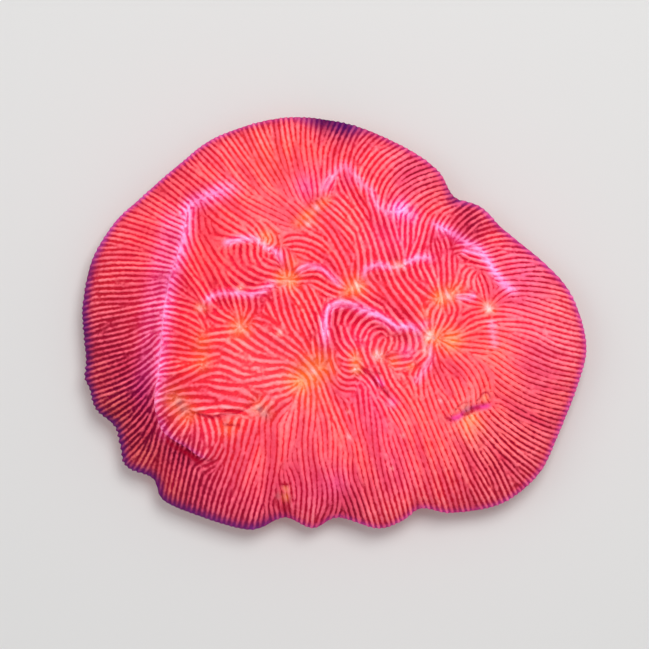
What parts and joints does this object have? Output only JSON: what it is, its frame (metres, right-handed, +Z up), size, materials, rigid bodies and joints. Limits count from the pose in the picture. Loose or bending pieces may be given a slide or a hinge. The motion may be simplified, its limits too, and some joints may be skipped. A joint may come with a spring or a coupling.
{
  "type": "leptoseris coral",
  "caption": "Wrinkle coral colony: a ridged, scalloped plate with a raised, walled middle and sunken cups, on a short foot cut off flat.",
  "frame": {"origin": "on the flat cut under the foot, below the middle of the colony's outline", "axes": "+Z up, out of the living face; +X to the right along the colony's longest side; +Y to the back, away from the viewer who looks down on it"},
  "size_m": [0.0766, 0.0627, 0.0153],
  "materials": {
    "tissue": "living coral tissue, softly moist, red to pink with violet crests"
  },
  "bodies": {
    "root": {"coral_colony": "tissue"}
  },
  "joints": []
}
